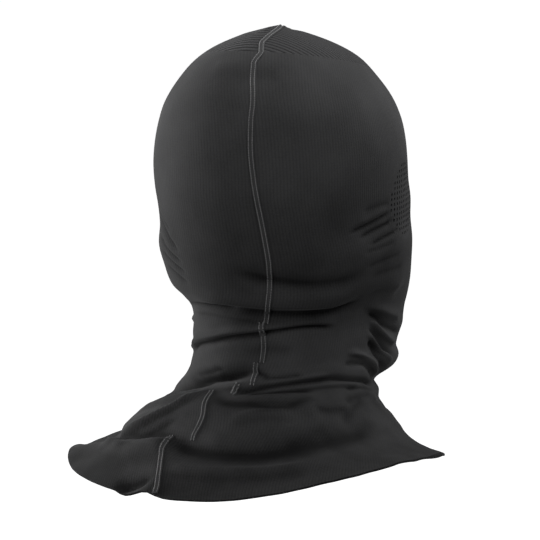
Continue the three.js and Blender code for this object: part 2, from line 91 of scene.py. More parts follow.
rings = [
    (-down * HEAD_HEIGHT, wide * HEAD_WIDTH / 2, cheek * HEAD_WIDTH / 2, back * HEAD_LENGTH / 2,
     front * HEAD_LENGTH / 2, aside * CROWN_SET_BACK, 0, 0, 2, slip)
    for down, wide, cheek, back, front, aside, slip in SKULL
] + [
    (-NAPE_BELOW_CROWN - down * NECK_HEIGHT, wide * NECK_WIDTH / 2, cheek * HEAD_WIDTH / 2,
     back * NECK_LENGTH / 2, front * HEAD_LENGTH / 2, 0, CAPE_TURN * 0.35 * down, 0, 2, slip)
    for down, wide, cheek, back, front, slip in NECK
]
root = rings[-1]
for drop, out, chest, aside, dip, slip in CAPE:
    rings.append((
        root[0] - drop * CAPE_DROP, root[1] + (CAPE_WIDTH / 2 - root[1]) * out,
        root[2] + (CAPE_WIDTH / 2 - root[2]) * chest, root[3] + (CAPE_BACK - root[3]) * out,
        root[4] + (CAPE_FRONT - root[4]) * chest, aside * CAPE_SET_BACK,
        root[6] + (CAPE_TURN - root[6]) * math.sqrt(out), dip, 2 + (CAPE_SQUARENESS - 2) * out, slip,
    ))
rings = np.array(rings)
rings[:, [6, 9]] = np.radians(rings[:, [6, 9]])
spread = rings[:, 1:5].sum(1) / 4
ring_lengths = np.concatenate([[0], np.cumsum(np.hypot(np.diff(rings[:, 0]), np.diff(spread)))])
nape_length, root_length, cloth_length = ring_lengths[[len(SKULL), len(SKULL) + len(NECK) - 1, -1]]


def smooth(low, high, x):
    """From 0 at the low value to 1 at the high one, level at both."""
    t = np.clip((x - low) / (high - low), 0, 1)
    return t * t * (3 - 2 * t)


def ring_at(length):
    """The ring of the cloth at each length down from the crown, as a cubic through the rings above."""
    i = np.clip(np.searchsorted(ring_lengths, length), 1, len(rings) - 1)
    first, last = np.maximum(i - 2, 0), np.minimum(i + 1, len(rings) - 1)
    span = ring_lengths[i] - ring_lengths[i - 1]
    t = np.clip((length - ring_lengths[i - 1]) / span, 0, 1)[..., None]
    a, b = rings[i - 1], rings[i]
    before = (b - rings[first]) * (span / (ring_lengths[i] - ring_lengths[first]))[..., None]
    after = (rings[last] - a) * (span / (ring_lengths[last] - ring_lengths[i - 1]))[..., None]
    return (
        (2 * t**3 - 3 * t**2 + 1) * a + (t**3 - 2 * t**2 + t) * before
        + (3 * t**2 - 2 * t**3) * b + (t**3 - t**2) * after
    )


def taut_cloth(angle, length):
    """The inside of the cloth before its folds. The angle runs from the back seam to the wearer's left."""
    z, wide, cheek, back, front, aside, turn, dip, square, slip = np.moveaxis(ring_at(length), -1, 0)
    t = angle + slip * (1 + np.cos(angle)) / 2
    facing = np.cos(t)
    before = smooth(-0.35, 0.75, -facing)
    power = 2 / (square + (FACE_SQUARENESS - square) * before)
    half = wide + (cheek - wide) * before
    depth = np.where(facing > 0, back, front)
    x = half * np.sign(np.sin(t)) * np.abs(np.sin(t)) ** power
    y = aside + depth * np.sign(facing) * np.abs(facing) ** power
    sag = dip * (np.where(facing > 0, BACK_DIP, FRONT_DIP) * facing**2 + LEFT_SAG * np.sin(t))
    return np.stack([
        x * np.cos(turn) + y * np.sin(turn), y * np.cos(turn) - x * np.sin(turn), z - sag,
    ], -1)


def outward(angle, length):
    """The way out of the cloth at each place."""
    step, reach = 0.02, 0.002
    at = np.maximum(length, reach + 0.001)
    round_it = taut_cloth(angle + step, at) - taut_cloth(angle - step, at)
    down = taut_cloth(angle, np.minimum(at + reach, cloth_length)) - taut_cloth(angle, at - reach)
    out = np.cross(round_it, down)
    out /= np.linalg.norm(out, axis=-1, keepdims=True)
    near = np.clip(1 - length / reach, 0, 1)[..., None]
    out = out * (1 - near) + np.array([0, 0, 1]) * near
    return out / np.linalg.norm(out, axis=-1, keepdims=True)


# What presses the cloth out or lets it in: turn from the middle of the back in degrees, height, half size
# round and half size up, and the rise, in millimetres.
FORMS = [
    # the nose, the mouth and the chin
    (180, -146, 19, 21, 13.5), (180, -177, 29, 9.5, -3.2), (180, -200, 25, 13, 4),
    # the ears, the cheekbones and the corners of the jaw
    (92, -129, 22, 24, 2), (-92, -129, 22, 24, 2), (152, -118, 22, 10, 1.2), (-152, -118, 22, 10, 1.2),
    (-100, -172, 16, 14, 1.5), (102, -174, 18, 14, 1.2),
    # the hollow in the cape in front of the ridge to the left shoulder
    (74, -266, 18, 9, -3),
]
# Folds and creases: rise, spread above and below the line, how far the cloth tucks in under it as a share
# of the rise, and the line itself as turns in degrees and heights. Lengths are in millimetres.
CREASES = [
    # under the crown zone
    (-1.0, 4.5, 5, 0, [(2, -28), (-8, -26.5), (-20, -26)]),
    (0.8, 3, 3, 0, [(16, -23), (6, -21), (-3, -20)]),
    # drawn from the ear to the nape on the right
    (-0.9, 2, 3, 0, [(-60, -115), (-72, -113.5), (-84, -112)]),
    (0.9, 2.2, 1.6, 0, [(-58, -124), (-69, -120), (-83, -115.5)]),
    (-2.3, 1.5, 1.9, 0, [(-51, -129), (-63, -125.5), (-74, -122.5), (-86, -118.5)]),
    (-2.1, 1.5, 1.8, 0, [(-58, -133.5), (-69, -129.7), (-80, -127), (-90, -124)]),
    (-1.8, 1.4, 1.7, 0, [(-66, -139), (-76, -136), (-87, -133.5), (-95, -132)]),
    (-0.9, 1.8, 2.0, 0, [(-62, -143), (-76, -141), (-90, -139)]),
    (-0.9, 1.8, 2.2, 0, [(-64, -153), (-80, -149.5), (-98, -147.5)]),
    (-0.8, 2.2, 3, 0, [(-70, -160), (-84, -158), (-104, -157)]),
    (-0.8, 2.2, 3, 0, [(-74, -172), (-88, -171), (-106, -172)]),
    # drawn from the ear to the nape on the left
    (-1.2, 2.2, 2.4, 0, [(52, -119), (43, -124), (34, -130)]),
    (-2.4, 1.5, 2.0, 0, [(54, -122), (40, -132), (28, -143)]),
    (-2.1, 1.5, 1.9, 0, [(52, -135), (39, -144), (28, -150)]),
    (-1.8, 1.4, 1.8, 0, [(50, -144), (39, -151), (28, -157)]),
    (-1.2, 1.6, 2.2, 0, [(48, -154), (38, -159), (29, -164)]),
    (-1.0, 2, 2.4, 0, [(60, -128), (76, -122), (92, -121)]),
    (-1.3, 2, 2.4, 0, [(62, -140), (78, -135), (96, -134)]),
    (-1.1, 2, 2.4, 0, [(64, -152), (80, -149), (100, -150)]),
    # rings round the nape
    (-3.8, 5, 5, 0, [
        (4, -151), (-10, -156), (-16, -158), (-30, -161), (-46, -162), (-58, -160), (-68, -154),
    ]),
    (2.6, 6, 2.6, 0.6, [(36, -175), (17, -173.5), (-7, -174), (-32, -175.5), (-54, -175), (-70, -171)]),
    (-3.0, 1.8, 3.4, 0, [(4, -178.5), (-8, -180.5), (-32, -182), (-53, -182), (-65, -179.7), (-76, -176)]),
    (-2.6, 1.6, 2.2, 0, [(60, -183), (44, -180.5), (30, -178.6), (15, -177.9), (0, -178.5)]),
    (0.9, 1.6, 1.6, 0, [(44, -184), (20, -182), (0, -184), (-12, -186)]),
    (-1.4, 3.4, 3.6, 0, [(10, -189), (-12, -187.5), (-36, -187), (-58, -188)]),
    (2.6, 3.4, 1.9, 0.4, [
        (64, -215), (46, -206.5), (35, -203), (24, -200), (9, -195.6), (-8, -192.2), (-18, -190.4),
        (-32, -188.8), (-46, -189), (-62, -192),
    ]),
    (-2.6, 1.5, 2.2, 0, [
        (58, -214), (40, -207), (24, -203), (9, -198), (-8, -194.8), (-18, -193), (-32, -191.5),
        (-46, -192), (-58, -194),
    ]),
    (-1.2, 4, 6, 0, [(2, -209), (-14, -207), (-30, -208)]),
    # the root of the cape on the left
    (-1.6, 1.2, 1.3, 0, [(44, -228.4), (32, -225), (20, -221.2), (14, -220)]),
    (1.1, 1.2, 1.2, 0, [(46, -231), (36, -228), (26, -226.3), (17, -222.6)]),
    (-7.0, 3.4, 3.6, 0, [
        (86, -248), (72, -243.5), (60, -238.8), (50, -235.6), (39, -232.4), (23, -228), (8, -224.6),
        (-4, -221.5), (-12, -219.6),
    ]),
    (-4.4, 4.4, 4.4, 0, [
        (80, -246), (66, -241.5), (54, -237), (42, -233), (24, -228), (8, -224), (-4, -221.5),
    ]),
    (2.2, 1.5, 2.4, 0, [
        (68, -248), (58, -243.5), (48, -239), (36, -235.6), (21, -232), (9, -230), (-2, -228.4),
    ]),
    (-1.4, 1.1, 1.4, 0, [(66, -249.6), (57, -245.2), (48, -241.5), (38, -238.6), (28, -236)]),
    (1.4, 1.3, 3, 0, [(72, -256), (62, -250), (52, -244.5), (42, -240.8), (30, -238)]),
    # the root of the cape on the right
    (-2.2, 2, 2.6, 0, [(-5, -221), (-10, -223.2), (-14, -224.4)]),
    (-1.7, 1.1, 1.3, 0, [(-9, -225.4), (-16, -225), (-24, -224.5), (-36, -223.2)]),
    (1.2, 1.3, 1.3, 0, [(-2, -229), (-14, -227.8), (-26, -226.4), (-40, -225.4), (-56, -224.8)]),
    (-3.6, 1.4, 2.0, 0, [
        (9, -236.4), (0, -234.2), (-7, -232.6), (-14, -231.1), (-22, -229.5), (-33, -228.2), (-43, -227.7),
        (-55, -227.6), (-68, -229.8), (-84, -232.8), (-100, -238),
    ]),
    (1.3, 1.3, 1.3, 0, [
        (-10, -233.4), (-22, -232), (-34, -231.4), (-48, -231), (-64, -232.2), (-80, -234.4),
    ]),
    (-1.2, 1.1, 1.3, 0, [(2, -237), (-14, -235), (-27, -234.4), (-42, -234)]),
    (1.0, 1.3, 1.6, 0, [(12, -238.8), (-6, -237.6), (-26, -237), (-44, -237)]),
    (-2.4, 2.4, 3.4, 0, [(20, -238.5), (5, -241), (-6, -241.6), (-20, -242), (-38, -239)]),
    (-1.8, 1.5, 2, 0, [(-60, -235.2), (-74, -235.6), (-85, -237.4), (-96, -241)]),
    (-1.8, 3, 3.4, 0, [(-54, -242.5), (-68, -240.5), (-88, -241.5)]),
    # gathers under the right of the jaw
    (2.4, 4, 3.0, 0.4, [(-84, -180), (-100, -186.4), (-112, -192), (-126, -198)]),
    (-3.0, 1.8, 3.0, 0, [(-88, -186), (-101, -193), (-106, -197.5), (-118, -204), (-130, -209)]),
    (2.5, 2.0, 1.7, 0, [(-90, -191), (-97, -196), (-103, -201.5), (-114, -209), (-126, -214)]),
    (-3.8, 1.8, 2.2, 0, [(-90, -197), (-98, -203.5), (-104, -209.5), (-113, -218), (-122, -223)]),
    (2.5, 1.6, 1.5, 0, [(-88, -200.5), (-96, -206), (-105, -213.5), (-111, -219.5), (-118, -226)]),
    (-4.2, 1.9, 3.4, 0, [(-90, -206), (-99, -212), (-104, -219), (-108, -226), (-112, -231)]),
    (2.4, 2.2, 1.6, 0.3, [
        (-70, -212.5), (-80, -214), (-88, -217.4), (-95, -222), (-99, -227), (-104, -233),
    ]),
    (-3.2, 1.4, 2.0, 0, [
        (-66, -220), (-74, -219.6), (-82, -220.4), (-88, -222.6), (-94, -228), (-100, -234),
    ]),
    # gathers under the left of the jaw
    (2.4, 4, 3, 0.4, [(82, -178), (98, -184), (116, -192), (130, -197)]),
    (-2.8, 1.8, 3, 0, [(84, -189), (100, -196), (118, -204), (132, -209)]),
    (2.4, 2.4, 1.8, 0, [(82, -194), (98, -201), (122, -214), (134, -219)]),
    (-3.0, 1.8, 2.4, 0, [(80, -201), (96, -207), (116, -219), (128, -224)]),
    (2.2, 2.4, 1.8, 0.3, [(70, -216), (86, -215), (100, -220), (112, -229)]),
    (-2.6, 1.6, 2.2, 0, [(72, -222), (88, -221), (104, -228), (116, -233)]),
    # round the throat and the mouth
    (-3.4, 3, 5, 0, [(104, -238), (140, -235), (180, -238), (220, -235), (254, -238)]),
    (2.0, 4, 3, 0, [(112, -229), (145, -225), (180, -227), (215, -225), (248, -229)]),
    (-1.2, 4, 5, 0, [(158, -150), (150, -163), (146, -178)]),
    (-1.2, 4, 5, 0, [(202, -150), (210, -163), (214, -178)]),
    # the cape: the ridge drawn to the left shoulder, and the fold across the back
    (3.2, 3.0, 2.4, 0, [
        (62, -278), (57, -274), (51, -268), (45, -261.5), (37, -249.5), (31, -241.5), (23, -236.5),
    ]),
    (-1.6, 2.0, 5, 0, [(50, -276), (42, -269.5), (34, -260), (26, -250)]),
    (-3.4, 3, 1.8, 0, [(72, -276), (60, -271.5), (50, -269), (39, -265), (31, -262), (20, -259.5)]),
    (3.4, 1.8, 7, 0, [
        (86, -281), (73, -279.5), (61, -275), (48, -272), (37, -268), (28, -265), (20, -263.5),
    ]),
    (-6.0, 5, 6.5, 0, [
        (30, -261.5), (22, -263.5), (12, -266.5), (-1, -267.8), (-14, -266), (-27, -262.5), (-38, -259.5),
        (-50, -258.5), (-68, -257),
    ]),
    (1.2, 2, 3.4, 0, [(21, -279), (6, -277.5), (-14, -275), (-30, -271)]),
    (-4.2, 3, 4.4, 0, [(34, -296), (28.5, -293), (22.5, -288.5)]),
    (-1.6, 3, 4, 0, [(-36, -242.5), (-45, -245.5), (-58, -246)]),
    (-1.4, 3, 4, 0, [(-47, -252.5), (-58, -248), (-74, -242)]),
    (1.1, 2, 3, 0, [(4, -251), (-4, -246.5), (-12, -244.3), (-26, -244)]),
    (1.2, 2, 3, 0, [(-20, -256), (-28, -253), (-40, -248)]),
    (2.0, 7, 7, 0, [(-84, -246), (-94, -258), (-98, -272)]),
    (-2.2, 7, 7, 0, [(-112, -250), (-118, -262), (-122, -276)]),
    (2.2, 8, 8, 0, [(150, -248), (152, -262), (154, -280)]),
    (-2.4, 8, 8, 0, [(176, -246), (178, -262), (180, -282)]),
    (2.2, 8, 8, 0, [(206, -250), (206, -264), (206, -282)]),
    (-2.4, 8, 8, 0, [(112, -252), (116, -264), (120, -280)]),
    (2.0, 6, 6, 0, [(92, -250), (96, -262), (100, -276)]),
]


def smooth_line(points, steps=8):
    """A curve through the points."""
    p = np.array(points, float)
    p = np.vstack([2 * p[0] - p[1], p, 2 * p[-1] - p[-2]])
    t = np.linspace(0, 1, steps, endpoint=False)[:, None]
    runs = [
        b + ((c - a) * t + (2 * a - 5 * b + 4 * c - d) * t**2 + (3 * b - a - 3 * c + d) * t**3) / 2
        for a, b, c, d in zip(p, p[1:], p[2:], p[3:])
    ]
    return np.vstack(runs + [p[-2:-1]])


def crease_rise(places, rise, above, below, tuck, line):
    """How far one crease moves the cloth out at each place, given as its turn in radians and its height, and how
    much painted shade it puts into the colour there, along its valley or below its ridge, from 0 to 1."""
    turns, heights = smooth_line(line).T
    # turns become lengths round the cloth at its usual distance from the middle at that height
    from_middle = np.interp(
        heights.mean() / 1000, [-0.30, -0.27, -0.24, -0.2, -0.15, -0.1, -0.03],
        [0.118, 0.100, 0.072, 0.066, 0.078, 0.088, 0.055],
    )
    middle = math.radians(turns.mean())
    path = np.stack([np.radians(turns) * from_middle, heights / 1000], -1)
    turn = (places[:, 0] - middle + math.pi) % (2 * math.pi) - math.pi + middle
    spots = np.stack([turn * from_middle, places[:, 1]], -1)
    reach = 3 * max(above, below) / 1000
    near = np.all((spots > path.min(0) - reach) & (spots < path.max(0) + reach), axis=1)
    spots = spots[near]
    steps = np.linalg.norm(np.diff(path, axis=0), axis=1)
    run = np.concatenate([[0], np.cumsum(steps)])
    best = np.full(len(spots), 1e9)
    aside, along = np.zeros(len(spots)), np.zeros(len(spots))
    for k, step in enumerate(steps):
        way = (path[k + 1] - path[k]) / step
        up = np.array([-way[1], way[0]])
        up *= 1 if up[1] + 1e-3 * up[0] > 0 else -1
        from_start = spots - path[k]
        t = np.clip(from_start @ way, 0, step)
        off = from_start - t[:, None] * way
        distance = np.hypot(*off.T)
        nearer = distance < best
        best[nearer] = distance[nearer]
        aside[nearer] = (off @ up)[nearer]
        along[nearer] = (run[k] + t)[nearer]
    off, over = best * 1000, aside >= 0
    # a narrow valley has a sharp floor and a wide one a round floor; painted shade goes into the colour along
    # the floor of a valley and in a band below a ridge
    if rise < 0:
        share_out = off / np.where(over, above, below)
        form = np.exp(-(share_out ** (1.3 if above < 4 else 2)))
        one_crease_shade = np.exp(-((share_out / 0.68) ** 2)) * min(1, -rise / above)
    else:
        lower = (1 + tuck) * np.exp(-((off / below) ** 2)) - tuck * np.exp(-((off / below / 3) ** 2))
        form = np.where(over, np.exp(-((off / above) ** 2)), lower)
        shaded = np.exp(-(((off - 1.6 * below) / (0.7 * below)) ** 2)) * min(0.6, rise / above / 2)
        one_crease_shade = np.where(over, 0, shaded)
    # it runs out at both ends, a wide crease more slowly than a narrow one
    fade = min(0.22 * run[-1], 0.006 + 0.004 * above)
    ends = smooth(0, fade, along) * smooth(0, fade, run[-1] - along)
    made, painted_crease_shade = np.zeros(len(places)), np.zeros(len(places))
    made[near], painted_crease_shade[near] = rise / 1000 * ends * form, ends * one_crease_shade
    return made, painted_crease_shade


def slow_waves(places, seed, count, longest, shortest):
    """Soft, even unevenness, from -1 to 1, in waves of these lengths."""
    random = np.random.default_rng(seed)
    total = np.zeros(len(places))
    for _ in range(count):
        way = random.normal(size=3)
        way *= 2 * math.pi / random.uniform(shortest, longest) / np.linalg.norm(way)
        total += np.sin(places @ way + random.uniform(0, 2 * math.pi))
    return total / math.sqrt(2 * count)


# The rim of the cape: how deep it is, and how far it sags on the left and is drawn up by the seam, each with its
# turn and half its width in degrees.
RIM_DEPTH, RIM_EDGE = 0.045, 0.006
LEFT_RIM_SAG, LEFT_RIM_TURN, LEFT_RIM_REACH = 0.0090, 84, 26
SEAM_NOTCH, SEAM_NOTCH_TURN, SEAM_NOTCH_REACH = 0.0035, 22.5, 4.5


def worn_cloth(angle, length, offset):
    """The cloth with what presses on it and its folds, moved out from its inside by an offset, the painted shade
    of the creases at each place, from 0 to 1.3, and how far the colour there is painted darker for slack cloth
    and as painted shade, or lighter for stretched cloth and as painted light, from about -1 to 1."""
    shape = np.broadcast(angle, length).shape
    angle, length = np.broadcast_to(angle, shape).ravel(), np.broadcast_to(length, shape).ravel()
    p, out = taut_cloth(angle, length), outward(angle, length)
    places = np.stack([np.arctan2(p[:, 0], p[:, 1]), p[:, 2]], -1)
    rise = np.zeros(len(p))
    for turn, height, around, up, push in FORMS:
        aside = (places[:, 0] - math.radians(turn) + math.pi) % (2 * math.pi) - math.pi
        reach = (aside * HEAD_WIDTH * 500 / around) ** 2 + ((places[:, 1] * 1000 - height) / up) ** 2
        rise += push / 1000 * np.exp(-reach)
    # the painted shade that the creases put into the colour
    painted_crease_shade = np.zeros(len(p))
    for crease in CREASES:
        made, one_crease_shade = crease_rise(places, *crease)
        rise += made
        painted_crease_shade += one_crease_shade
    # the cloth is uneven, more so towards its slack end
    slack = smooth(0.13, 0.26, -p[:, 2])
    rise += slow_waves(p, 3, 14, 0.07, 0.03) * (0.00012 + 0.0006 * slack)
    rise += slow_waves(p, 8, 14, 0.02, 0.009) * 0.00022 * slack
    # the left of the cape sags at its rim, and the rim is drawn up where the seam meets it
    rim, turn = smooth(cloth_length - RIM_DEPTH, cloth_length - RIM_EDGE, length), np.degrees(places[:, 0])
    p[:, 2] -= LEFT_RIM_SAG * rim * np.exp(-(((turn - LEFT_RIM_TURN) / LEFT_RIM_REACH) ** 2))
    p[:, 2] += SEAM_NOTCH * rim * np.exp(-(((turn - SEAM_NOTCH_TURN) / SEAM_NOTCH_REACH) ** 2))
    places = (p + out * (rise + offset)[:, None]).reshape(shape + (3,))
    # painted shade and light in the colour: the cape, its rim and the cloth under the ears are painted darker,
    # partly as slack knit and partly as painted shade, with a painted shadow on the rim beside the seam, while
    # the skull and the right of the neck are painted lighter, partly as stretched knit and partly as painted
    # light
    turn, low = np.arctan2(p[:, 0], p[:, 1]), p[:, 2]
    slack_and_painted_shade = 0.42 * smooth(root_length - 0.012, root_length + 0.02, length) + 0.5 * rim
    slack_and_painted_shade += 0.35 * smooth(cloth_length - 0.03, cloth_length, length) * (1 + np.cos(turn - 0.7))
    slack_and_painted_shade += 0.4 * np.exp(-(((low + 0.138) / 0.040) ** 2)) - 0.25 * np.exp(-(((low + 0.070) / 0.045) ** 2))
    slack_and_painted_shade -= np.exp(-(((low + 0.212) / 0.018) ** 2)) * (0.25 - 0.6 * np.sin(turn))
    return places, np.clip(painted_crease_shade, 0, 1.3).reshape(shape), slack_and_painted_shade.reshape(shape)


def grid(columns, rows, across, down):
    """A bmesh grid, its vertices in rows, and what across and down give for shares from 0 to 1 along it."""
    bm = bmesh.new()
    # vertex layers for the painted shade of the creases and for the painted shade and light of slack and
    # stretched cloth
    for name in ("painted_crease_shade", "slack_and_painted_shade"):
        bm.verts.layers.float.new(name)
    bm.loops.layers.uv.new("cloth")
    bm.loops.layers.uv.new("crown")
    bmesh.ops.create_grid(bm, x_segments=columns, y_segments=rows, size=1)
    places = np.array([v.co for v in bm.verts])
    order = np.lexsort((places[:, 0], -places[:, 1]))
    bm.verts.ensure_lookup_table()
    verts = [bm.verts[i] for i in order]
    return bm, verts, across(np.linspace(0, 1, columns + 1)), down(np.linspace(0, 1, rows + 1))


def finished(bm, name, material, nodes=()):
    """Makes the piece of a bmesh, with its finish and the CAD nodes that it stands for."""
    mesh = bpy.data.meshes.new(name)
    for face in bm.faces:
        face.smooth = True
    for edge in bm.edges:
        edge.smooth = not edge.is_boundary
    bm.to_mesh(mesh)
    bm.free()
    piece = bpy.data.objects.new(name, mesh)
    bpy.context.collection.objects.link(piece)
    mesh.materials.append(material)
    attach(piece, "root")
    if nodes:
        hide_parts(*nodes)
    return piece


def add_thickness(piece, thickness, offset):
    wall = piece.modifiers.new("thickness", "SOLIDIFY")
    wall.thickness, wall.offset, wall.use_even_offset = thickness, offset, True


def knit(name, dark, light, pitch, stitch, depth, sheen, roughness, uv="cloth", turned=False, rib_groove_shade=0.16):
    """A knit between two colours, with the pitch of its ribs and stitches in millimetres and the depth of its
    ribs in metres. The ribs run along the second axis of the UV map, or along the first where they are turned,
    and the grooves between them are painted darker in the colour, as painted shade, by the given share."""
    material = bpy.data.materials.new(name)
    material.use_nodes = True
    nodes, links = material.node_tree.nodes, material.node_tree.links
    shader = nodes["Principled BSDF"]
    shader.inputs["Roughness"].default_value = roughness
    shader.inputs["Specular IOR Level"].default_value = 0.15
    shader.inputs["Sheen Weight"].default_value = sheen
    shader.inputs["Sheen Roughness"].default_value = 0.35
    shader.inputs["Sheen Tint"].default_value = (0.5, 0.5, 0.51, 1)

    def node(kind, *sources, **settings):
        made = nodes.new(kind)
        for key, value in settings.items():
            setattr(made, key, value)
        for socket, source in zip(made.inputs, sources):
            if isinstance(source, bpy.types.NodeSocket):
                links.new(source, socket)
            else:
                socket.default_value = source
        return made

    def maths(operation, *sources):
        return node("ShaderNodeMath", *sources, operation=operation).outputs[0]

    parts = node("ShaderNodeSeparateXYZ", node("ShaderNodeUVMap", uv_map=uv).outputs[0]).outputs
    across = maths("MULTIPLY", parts[1 if turned else 0], 100 / pitch)
    along = maths("MULTIPLY", parts[0 if turned else 1], 100 / stitch)
    # each rib is a rounded ridge between two narrow grooves
    ridge = maths("POWER", maths("ABSOLUTE", maths("SINE", maths("MULTIPLY", across, math.pi))), 0.55)
    # the stitches of a rib lean both ways from its middle, as small chevrons
    lean = maths("ABSOLUTE", maths("SUBTRACT", maths("FRACT", across), 0.5))
    loops = maths("SINE", maths("MULTIPLY", maths("ADD", along, lean), 2 * math.pi))
    body = node("ShaderNodeTexCoord").outputs["Object"]
    fuzz = node("ShaderNodeTexNoise", body)
    fuzz.inputs["Scale"].default_value, fuzz.inputs["Detail"].default_value = 900, 3
    cloud = node("ShaderNodeTexNoise", body)
    cloud.inputs["Scale"].default_value, cloud.inputs["Detail"].default_value = 30, 5
    # the yarn takes the dye unevenly, and the grooves between the ribs are painted darker, as painted shade
    tone = maths("ADD", maths("MULTIPLY", ridge, rib_groove_shade), maths("MULTIPLY", loops, 0.02))
    tone = maths("ADD", tone, maths("MULTIPLY", fuzz.outputs[0], 0.3))
    tone = maths("ADD", tone, maths("MULTIPLY", cloud.outputs[0], 0.7 - rib_groove_shade))
    # painted shade in the colour: it is darker in the creases, and darker where the cloth is slack and lighter
    # where it is stretched, partly as the knit's own tone and partly as painted shade and painted light
    crease = node("ShaderNodeAttribute", attribute_name="painted_crease_shade").outputs["Fac"]
    slack_and_painted_shade = node("ShaderNodeAttribute", attribute_name="slack_and_painted_shade").outputs["Fac"]
    tone = maths("SUBTRACT", tone, maths("MULTIPLY", crease, 0.42))
    tone = maths("SUBTRACT", tone, maths("MULTIPLY", slack_and_painted_shade, 0.3))
    ramp = node("ShaderNodeValToRGB", tone)
    ramp.color_ramp.elements[0].position, ramp.color_ramp.elements[1].position = 0.05, 0.8
    ramp.color_ramp.elements[0].color = (*dark, 1)
    ramp.color_ramp.elements[1].color = (*light, 1)
    links.new(ramp.outputs[0], shader.inputs["Base Color"])
    height = maths("ADD", ridge, maths("MULTIPLY", loops, 0.04))
    height = maths("ADD", height, maths("MULTIPLY", fuzz.outputs[0], 0.5))
    bump = node("ShaderNodeBump")
    bump.inputs["Strength"].default_value, bump.inputs["Distance"].default_value = 1.0, depth
    links.new(height, bump.inputs["Height"])
    links.new(bump.outputs[0], shader.inputs["Normal"])
    return material


# the columns and rows stand closer where the folds are
COLUMNS, ROWS = 190, 240
bm, verts, angles, lengths = grid(
    COLUMNS, ROWS,
    lambda s: np.radians(np.interp(
        s, [0, 0.12, 0.21, 0.31, 0.70, 0.82, 1], [-180, -132, -108, -84, 66, 118, 180],
    )),
    lambda s: np.interp(s, [0, 0.16, 0.68, 1], [0, nape_length - 0.074, root_length + 0.006, cloth_length]),
)
# the outside of the cloth, the painted shade of its creases, and the painted shade and light of slack and
# stretched cloth
outer, painted_crease_shade, slack_and_painted_shade = worn_cloth(angles[None, :], lengths[:, None], CLOTH_THICKNESS)
outer[0, :, 0] = 0
# the ribs run down the cloth side by side from the back seam, so a place's rib is its distance round from
# the seam
steps = np.linalg.norm(np.diff(taut_cloth(angles[None, :] * np.ones((ROWS + 1, 1)),
                                          lengths[:, None] * np.ones((1, COLUMNS + 1))), axis=1), axis=2)
round_from_front = np.concatenate([np.zeros((ROWS + 1, 1)), np.cumsum(steps, axis=1)], axis=1)
round_from_seam = round_from_front - round_from_front[:, COLUMNS // 2: COLUMNS // 2 + 1]
# each vertex keeps the painted shade of its creases, as depth, and the painted shade and light of slack and
# stretched cloth, as slack
painted_crease_shade_layer, slack_and_painted_shade_layer = bm.verts.layers.float["painted_crease_shade"], bm.verts.layers.float["slack_and_painted_shade"]
for vert, place, depth, slack in zip(verts, outer.reshape(-1, 3), painted_crease_shade.ravel(), slack_and_painted_shade.ravel()):
    vert.co = place
    vert[painted_crease_shade_layer], vert[slack_and_painted_shade_layer] = depth, slack
uv_layer, zone_layer = bm.loops.layers.uv["cloth"], bm.loops.layers.uv["crown"]
bm.verts.index_update()
uv_of, zone_of = {}, {}
for n, vert in enumerate(verts):
    i, j = divmod(n, COLUMNS + 1)
    uv_of[vert.index] = (round_from_seam[i, j] * 10, lengths[i] * 10)
    zone_of[vert.index] = (outer[i, j, 0] * 10, outer[i, j, 1] * 10)
for face in bm.faces:
    for loop in face.loops:
        loop[uv_layer].uv = uv_of[loop.vert.index]
        loop[zone_layer].uv = zone_of[loop.vert.index]
bmesh.ops.remove_doubles(bm, verts=bm.verts, dist=0.00002)
bm.normal_update()
if sum(f.normal.dot(f.calc_center_median() - Vector((0, 0, -0.1))) for f in bm.faces) < 0:
    bmesh.ops.reverse_faces(bm, faces=bm.faces)
bm.normal_update()
cloth_surface = BVHTree.FromBMesh(bm)

CROWN_EDGE_BACK, CROWN_EDGE_DROP, CROWN_EDGE_SLOPE = 0.060, 0.0115, 0.18
crown_edge = Vector((0, CROWN_EDGE_BACK, -CROWN_EDGE_DROP))
crown_up = Vector((0, -CROWN_EDGE_SLOPE, 1)).normalized()
crown_bm = bm.copy()
for each, inner in ((bm, False), (crown_bm, True)):
    bmesh.ops.bisect_plane(
        each, geom=each.verts[:] + each.edges[:] + each.faces[:], plane_co=crown_edge, plane_no=crown_up,
        clear_outer=not inner, clear_inner=inner,
    )

# The eye opening, and how much wider the cloth is cut, under the band.
EYE_WIDTH, EYE_HEIGHT, EYE_BELOW_CROWN, EYE_SQUARENESS, EYE_CUT = 0.118, 0.042, 0.117, 2.7, 0.005
eye_faces = [
    f for f in bm.faces
    if (c := f.calc_center_median()).y < 0
    and (abs(c.x) / (EYE_WIDTH / 2 + EYE_CUT)) ** EYE_SQUARENESS
    + (abs(c.z + EYE_BELOW_CROWN) / (EYE_HEIGHT / 2 + EYE_CUT)) ** EYE_SQUARENESS < 1
]
bmesh.ops.delete(bm, geom=eye_faces, context="FACES")

EAR_LENGTH, EAR_HEIGHT, EAR_BELOW_CROWN, EAR_FORWARD, EAR_SLIP = 0.062, 0.054, 0.113, 0.010, 0.011
ear_centre = {side: (-EAR_FORWARD + side * EAR_SLIP, -EAR_BELOW_CROWN) for side in (1, -1)}


def ear_planes(side, sides=36):
    """Planes square to the side of the head through the sides of an ear zone's outline."""
    y, z = ear_centre[side]
    for k in range(sides):
        a = 2 * math.pi * (k + 0.5) / sides
        at = Vector((0, y + EAR_LENGTH / 2 * math.cos(a), z + EAR_HEIGHT / 2 * math.sin(a)))
        yield at, Vector((0, math.cos(a) / EAR_LENGTH, math.sin(a) / EAR_HEIGHT)).normalized()


